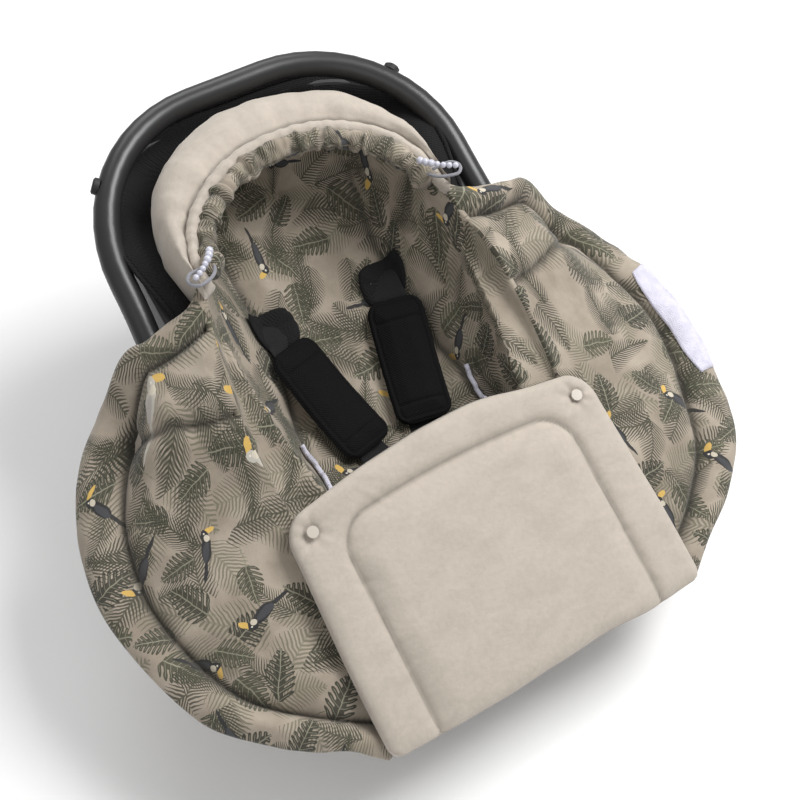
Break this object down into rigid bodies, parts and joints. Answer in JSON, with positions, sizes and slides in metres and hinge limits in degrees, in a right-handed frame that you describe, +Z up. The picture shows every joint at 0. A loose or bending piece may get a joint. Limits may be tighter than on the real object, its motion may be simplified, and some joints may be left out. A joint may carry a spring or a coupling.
{
  "type": "infant car seat",
  "caption": "Infant car seat with a tubular carry handle, harness, moulded shell and an open padded wrap with a hood and a foot flap.",
  "frame": {"origin": "middle of the underside, straight below the handle pivots, where the seat rests on the floor", "axes": "+X towards the right of someone who stands at the foot end and looks at the head end; +Y from the foot end to the head end; +Z up"},
  "size_m": [0.72, 0.6988, 0.4005],
  "materials": {
    "moulded_black": "satin moulded plastic",
    "handle_grey": "satin dark grey plastic over a tube",
    "hub_grey": "satin dark grey plastic",
    "foam_white": "moulded bead foam",
    "cover_black": "black knitted cover",
    "print_lining": "printed velour lining",
    "beige_velour": "beige velour",
    "webbing_black": "woven webbing",
    "pad_black": "padded black cloth",
    "steel": "zinc plated",
    "brass_gear": "moulded gear",
    "guide_blue": "satin blue plastic",
    "button_red": "gloss red plastic",
    "button_grey": "satin grey plastic",
    "rubber_black": "matte rubber",
    "cord_grey": "twisted grey cord",
    "stopper_silver": "silver beaded stopper",
    "loop_tape": "brushed loop tape",
    "snap_ivory": "ivory snap caps"
  },
  "bodies": {
    "seat": {"seat_shell": "moulded_black", "outer_shell": "moulded_black", "rim_trim": "moulded_black", "bottom_cover": "moulded_black", "bottom_screws": "steel", "rubber_feet": "rubber_black", "foam_liner": "foam_white", "seat_cover": "cover_black", "pivot_boss_left": "hub_grey", "pivot_boss_right": "hub_grey", "pivot_pin_left": "steel", "pivot_pin_right": "steel", "belt_guide_left": "guide_blue", "belt_guide_right": "guide_blue", "rear_belt_guide": "guide_blue", "adapter_socket_left": "moulded_black", "adapter_socket_right": "moulded_black", "shoulder_strap_left": "webbing_black", "shoulder_strap_right": "webbing_black", "shoulder_pad_left": "pad_black", "shoulder_pad_right": "pad_black", "yoke_plate": "steel", "lap_strap_left": "webbing_black", "lap_strap_right": "webbing_black", "tongue_left": "steel", "tongue_right": "steel", "crotch_strap": "webbing_black", "buckle_body": "moulded_black", "adjuster_housing": "moulded_black", "adjuster_strap": "webbing_black", "wrap_back": "print_lining", "wing_left": "print_lining", "wing_right": "print_lining", "wrap_hood": "beige_velour", "hood_casing": "print_lining", "drawcord_left": "cord_grey", "drawcord_right": "cord_grey", "cord_stopper_left": "stopper_silver", "cord_stopper_right": "stopper_silver", "closure_patch": "loop_tape", "slot_binding_left": "loop_tape", "slot_binding_right": "loop_tape"},
    "handle": {"handle_tube": "handle_grey", "hub_left": "hub_grey", "hub_right": "hub_grey", "hub_cap_left": "hub_grey", "hub_cap_right": "hub_grey", "lock_spring_left": "steel", "lock_spring_right": "steel"},
    "foot_flap": {"foot_flap": "beige_velour", "flap_panel": "beige_velour", "snap_caps": "snap_ivory"},
    "handle_button_left": {"handle_button_left": "rubber_black"},
    "handle_button_right": {"handle_button_right": "rubber_black"},
    "lock_left": {"lock_gear_left": "brass_gear"},
    "lock_right": {"lock_gear_right": "brass_gear"},
    "buckle_button": {"buckle_button": "button_red"},
    "adjuster_button": {"adjuster_button": "button_grey"}
  },
  "joints": [
    {"name": "handle_swing", "type": "hinge", "parent": "seat", "child": "handle", "pos_m": [0, 0, 0.238], "axis": [1, 0, 0], "range_deg": [0, 52], "deforming": ["wing_left", "wing_right"]},
    {"name": "flap_fold", "type": "hinge", "parent": "seat", "child": "foot_flap", "pos_m": [0, -0.378, 0.112], "axis": [1, 0, 0], "range_deg": [0, 165]},
    {"name": "handle_button_left_press", "type": "slide", "parent": "handle", "child": "handle_button_left", "axis": [0.7826, -0.4939, -0.379], "range_m": [0, 0.004], "stiffness_N_per_m": 600, "springref_m": -0.001},
    {"name": "lock_left_slide", "type": "slide", "parent": "handle", "child": "lock_left", "axis": [1, 0, 0], "range_m": [0, 0.004], "deforming": ["lock_spring_left"]},
    {"name": "handle_button_right_press", "type": "slide", "parent": "handle", "child": "handle_button_right", "axis": [-0.7826, -0.4939, -0.379], "range_m": [0, 0.004], "stiffness_N_per_m": 600, "springref_m": -0.001},
    {"name": "lock_right_slide", "type": "slide", "parent": "handle", "child": "lock_right", "axis": [-1, 0, 0], "range_m": [0, 0.004], "deforming": ["lock_spring_right"]},
    {"name": "buckle_press", "type": "slide", "parent": "seat", "child": "buckle_button", "axis": [0, 0, -1], "range_m": [0, 0.003], "stiffness_N_per_m": 500, "springref_m": -0.001},
    {"name": "adjuster_press", "type": "slide", "parent": "seat", "child": "adjuster_button", "axis": [0, 0, -1], "range_m": [0, 0.003], "stiffness_N_per_m": 500, "springref_m": -0.001}
  ],
  "couplings": [
    {"joint": "lock_left_slide", "follows": "handle_button_left_press", "ratio": 1},
    {"joint": "lock_right_slide", "follows": "handle_button_right_press", "ratio": 1}
  ]
}
